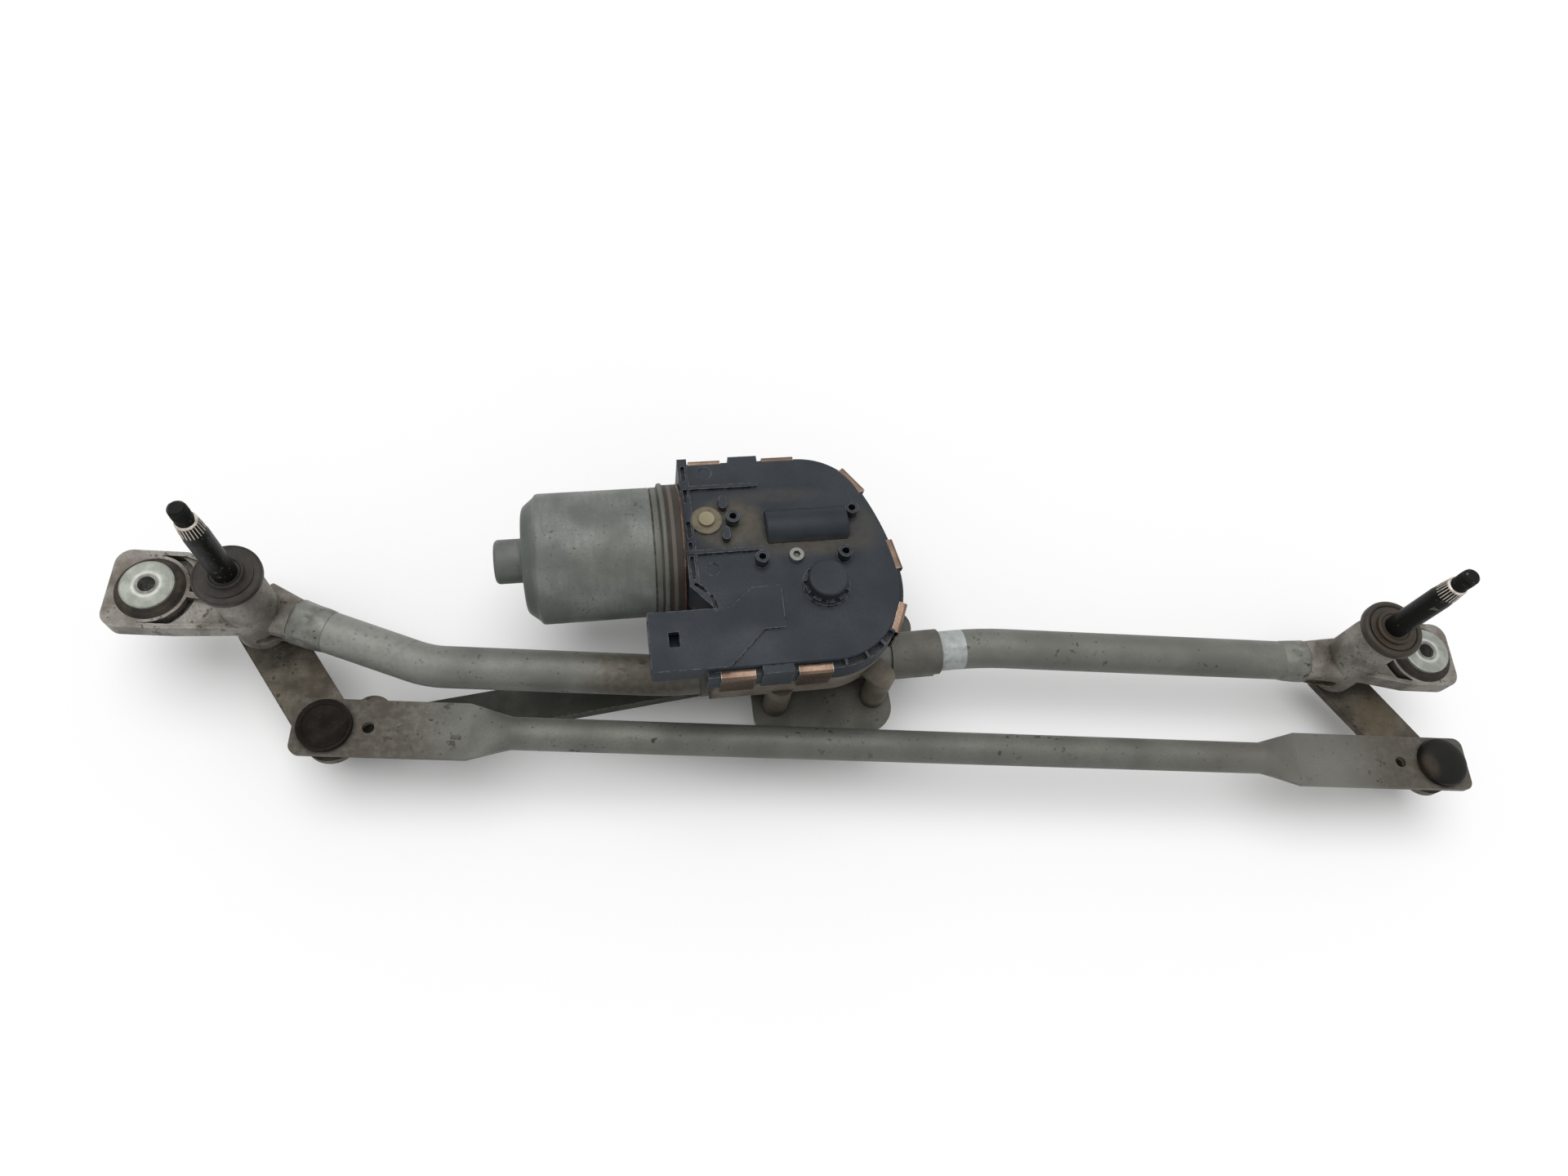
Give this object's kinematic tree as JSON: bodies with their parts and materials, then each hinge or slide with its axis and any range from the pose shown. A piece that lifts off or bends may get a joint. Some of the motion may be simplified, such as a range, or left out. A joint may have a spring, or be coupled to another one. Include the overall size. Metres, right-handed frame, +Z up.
{
  "type": "windshield wiper motor",
  "caption": "Worm-geared electric wiper motor on a tubular frame, driving two upright spindles through a crank, ball-jointed rods and levers",
  "frame": {"origin": "lower end of the left mounting sleeve's bore", "axes": "+X runs along the frame towards the right spindle, +Z runs up along the mounting bores and the wiper spindles, +Y runs towards the motor"},
  "size_m": [0.7291, 0.1736, 0.158],
  "materials": {
    "zinc_tube": "weathered zinc plating, dull with fine dark specks",
    "casting": "matte as-cast, brown dirt in the corners",
    "can_steel": "dull green-grey plating with dark streaks",
    "lever_steel": "dark plated pressing, dusty",
    "plate_steel": "dark plated pressing, dusty",
    "spindle_steel": "blackened, bright on the knurl",
    "pale_zinc": "satin zinc plating",
    "clip_steel": "copper-brown spring steel, bright on the bends",
    "bright_steel": "ground",
    "core_steel": "laminated, varnished",
    "ferrite": "sintered, matte",
    "bronze": "sintered, oiled",
    "copper": "enamelled wire and bare segments",
    "carbon": "pressed carbon",
    "cover_plastic": "moulded, slate black with brown dust",
    "cap_plastic": "moulded, near black",
    "gear_plastic": "moulded, natural",
    "board_green": "lacquered board",
    "pin_metal": "tinned",
    "rubber": "moulded, dusty"
  },
  "bodies": {
    "frame": {"frame_tube": "zinc_tube", "left_pivot_housing": "casting", "right_pivot_housing": "casting", "left_grommet": "rubber", "right_grommet": "rubber", "left_mount_sleeve": "pale_zinc", "right_mount_sleeve": "pale_zinc", "left_lower_bush": "bronze", "right_lower_bush": "bronze", "left_upper_bush": "bronze", "right_upper_bush": "bronze", "carrier_plate": "plate_steel", "rear_peg": "pale_zinc", "rear_peg_rubber": "rubber", "motor_bolts": "pale_zinc", "gear_housing": "casting", "output_bush": "bronze", "motor_can": "can_steel", "magnets": "ferrite", "rear_bearing": "bronze", "front_bearing": "bronze", "brush_holder": "cap_plastic", "brushes": "carbon", "electronics_cover": "cover_plastic", "connector_pins": "pin_metal", "circuit_board": "board_green", "capacitor": "pale_zinc", "round_cap": "cap_plastic", "cover_screw": "pale_zinc", "contact_pin": "pin_metal", "cover_clips": "clip_steel"},
    "armature": {"armature_shaft": "bright_steel", "worm": "bright_steel", "armature_core": "core_steel", "windings": "copper", "commutator": "copper"},
    "crank": {"output_shaft": "bright_steel", "worm_wheel": "gear_plastic", "crank_arm": "lever_steel", "crank_nut": "pale_zinc", "crank_ball": "bright_steel", "crank_socket": "cap_plastic"},
    "left_wiper": {"left_spindle": "spindle_steel", "left_lever": "lever_steel", "left_seal_disc": "cap_plastic", "left_coupling_ball": "bright_steel", "drive_ball": "bright_steel"},
    "right_wiper": {"right_spindle": "spindle_steel", "right_lever": "lever_steel", "right_seal_disc": "cap_plastic", "right_coupling_ball": "bright_steel"},
    "coupling_link": {"coupling_rod": "zinc_tube", "left_coupling_socket": "cap_plastic", "right_coupling_socket": "cap_plastic"},
    "drive_link": {"drive_rod": "lever_steel", "drive_socket": "cap_plastic"}
  },
  "joints": [
    {"name": "armature_turn", "type": "hinge", "parent": "frame", "child": "armature", "pos_m": [0.33427, 0.03808, 0.028], "axis": [0.9914, 0.1305, 0], "range_deg": [-9360, 0]},
    {"name": "crank_turn", "type": "hinge", "parent": "frame", "child": "crank", "pos_m": [0.3391, 0.0014, 0.028], "axis": [0, 0, 1], "range_deg": [-180.01, 0]},
    {"name": "left_spindle_turn", "type": "hinge", "parent": "frame", "child": "left_wiper", "pos_m": [0.0486, -0.0061, 0.012], "axis": [0, 0, 1], "range_deg": [-82.01, 0]},
    {"name": "right_spindle_turn", "type": "hinge", "parent": "frame", "child": "right_wiper", "pos_m": [0.6486, -0.0061, 0.012], "axis": [0, 0, 1], "range_deg": [-82.01, 0]},
    {"name": "coupling_rod_pivot", "type": "hinge", "parent": "left_wiper", "child": "coupling_link", "pos_m": [0.0926, -0.0646, -0.008], "axis": [0, 0, 1], "range_deg": [0, 82.01]},
    {"name": "drive_rod_pivot", "type": "hinge", "parent": "left_wiper", "child": "drive_link", "pos_m": [0.1111, -0.0526, -0.031], "axis": [0, 0, 1], "range_deg": [0, 82.01]}
  ],
  "couplings": [
    {"joint": "crank_turn", "follows": "armature_turn", "ratio": 0.019231},
    {"joint": "left_spindle_turn", "follows": "armature_turn", "ratio": 0.0087607},
    {"joint": "right_spindle_turn", "follows": "armature_turn", "ratio": 0.0087607},
    {"joint": "coupling_rod_pivot", "follows": "armature_turn", "ratio": -0.0087607},
    {"joint": "drive_rod_pivot", "follows": "armature_turn", "ratio": -0.0087607}
  ]
}
